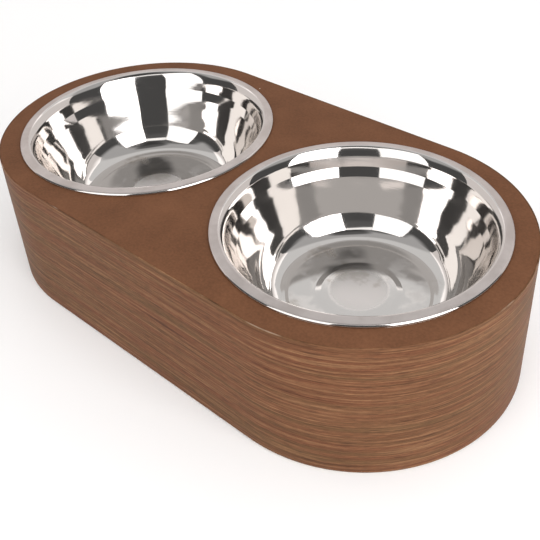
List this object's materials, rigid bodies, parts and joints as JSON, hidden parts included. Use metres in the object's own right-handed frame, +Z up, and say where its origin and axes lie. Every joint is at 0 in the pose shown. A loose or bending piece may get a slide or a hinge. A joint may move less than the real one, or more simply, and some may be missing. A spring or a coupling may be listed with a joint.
{
  "type": "raised double pet bowl",
  "caption": "Raised pet feeder: a hollow stadium-shaped wooden stand with rubber feet, carrying steel bowls that hang by their rims in round openings and lift out.",
  "frame": {"origin": "on the floor under the middle of the stand", "axes": "+X along the stand's length to its right, +Y to its back, +Z up"},
  "size_m": [0.42, 0.22, 0.1045],
  "materials": {
    "top_paint": "flat brown sealed fibreboard with a fine speckle",
    "walnut_veneer": "matt brown veneer with fine streaks along its length",
    "core_board": "raw medium-density fibreboard",
    "bent_ply": "raw bent plywood",
    "bottom_board": "raw hardboard",
    "pine_block": "planed softwood",
    "beech_dowel": "fluted beech look, plain shape",
    "zinc_screw": "bright zinc plate",
    "foot_rubber": "matt black rubber",
    "bowl_steel": "stainless steel, polished inside, satin rim"
  },
  "bodies": {
    "stand": {"top_panel": "top_paint", "front_wall": "core_board", "back_wall": "core_board", "left_end_wall": "bent_ply", "right_end_wall": "bent_ply", "veneer_band": "walnut_veneer", "centre_brace": "core_board", "bottom_panel": "bottom_board", "front_left_block": "pine_block", "front_right_block": "pine_block", "back_left_block": "pine_block", "back_right_block": "pine_block", "left_end_block": "pine_block", "right_end_block": "pine_block", "panel_dowels": "beech_dowel", "joint_dowels": "beech_dowel", "bottom_screws": "zinc_screw", "front_left_foot": "foot_rubber", "front_middle_foot": "foot_rubber", "front_right_foot": "foot_rubber", "back_left_foot": "foot_rubber", "back_middle_foot": "foot_rubber", "back_right_foot": "foot_rubber", "foot_screws": "zinc_screw"},
    "left_bowl": {"left_bowl": "bowl_steel"},
    "right_bowl": {"right_bowl": "bowl_steel"}
  },
  "joints": [
    {"name": "left_bowl_lift", "type": "slide", "parent": "stand", "child": "left_bowl", "axis": [0, 0, 1], "range_m": [0, 0.07]},
    {"name": "right_bowl_lift", "type": "slide", "parent": "stand", "child": "right_bowl", "axis": [0, 0, 1], "range_m": [0, 0.07]}
  ]
}
